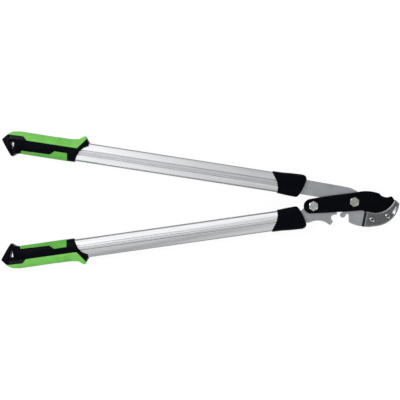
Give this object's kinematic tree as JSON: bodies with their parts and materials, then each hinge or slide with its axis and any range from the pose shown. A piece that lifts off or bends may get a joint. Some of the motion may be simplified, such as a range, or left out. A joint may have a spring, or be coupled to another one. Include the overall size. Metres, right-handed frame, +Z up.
{
  "type": "lopper",
  "caption": "Geared bypass lopper with ribbed oval aluminium handles, soft grips with hang holes, a black blade and a hooked steel jaw with a counter blade.",
  "frame": {"origin": "on the main pivot's axis, in the plane that the lopper rests on, at the end face of the pivot bolt", "axes": "+X along the middle line between the handles, towards the jaw; +Y towards the upper handle, the one that carries the hook plate; +Z up, along both bolts towards their heads"},
  "size_m": [0.7498, 0.2582, 0.032],
  "materials": {
    "tube_aluminium": "satin",
    "black_moulding": "satin",
    "green_soft_grip": "matte",
    "plate_steel": "satin",
    "blade_coating": "semi-gloss non-stick coating",
    "counter_blade_steel": "hardened, semi-gloss",
    "zinc_plate": "zinc plated",
    "bush_bronze": "sintered, dull",
    "plug_nylon": "matte"
  },
  "bodies": {
    "root": {"upper_tube": "tube_aluminium", "upper_grip_core": "black_moulding", "upper_grip_outer_pad": "green_soft_grip", "upper_grip_inner_pad": "green_soft_grip", "upper_ferrule": "black_moulding", "upper_tube_plug": "plug_nylon", "upper_tang_pin_1": "zinc_plate", "upper_tang_pin_2": "zinc_plate", "hook_plate": "plate_steel", "counter_blade": "counter_blade_steel", "counter_blade_screw_1": "zinc_plate", "counter_blade_screw_2": "zinc_plate", "pivot_bolt": "zinc_plate", "pivot_bush": "bush_bronze", "pivot_washer": "zinc_plate", "pivot_nut": "zinc_plate"},
    "blade_arm": {"blade": "blade_coating", "link_bolt": "zinc_plate", "link_bush": "bush_bronze", "link_washer": "zinc_plate", "link_nut": "zinc_plate"},
    "lower_handle": {"gear_plate": "plate_steel", "lower_ferrule": "black_moulding", "lower_tube_plug": "plug_nylon", "lower_tang_pin_1": "zinc_plate", "lower_tang_pin_2": "zinc_plate", "lower_tube": "tube_aluminium", "lower_grip_core": "black_moulding", "lower_grip_outer_pad": "green_soft_grip", "lower_grip_inner_pad": "green_soft_grip"}
  },
  "joints": [
    {"name": "blade_pivot", "type": "hinge", "parent": "root", "child": "blade_arm", "pos_m": [0, 0, 0.0193], "axis": [0, 0, 1], "range_deg": [0, 42]},
    {"name": "lower_handle_pivot", "type": "hinge", "parent": "blade_arm", "child": "lower_handle", "pos_m": [-0.07696, -0.00822, 0.016], "axis": [0, 0, 1], "range_deg": [0, 33.7]}
  ],
  "couplings": [
    {"joint": "lower_handle_pivot", "follows": "blade_pivot", "ratio": 0.8}
  ]
}
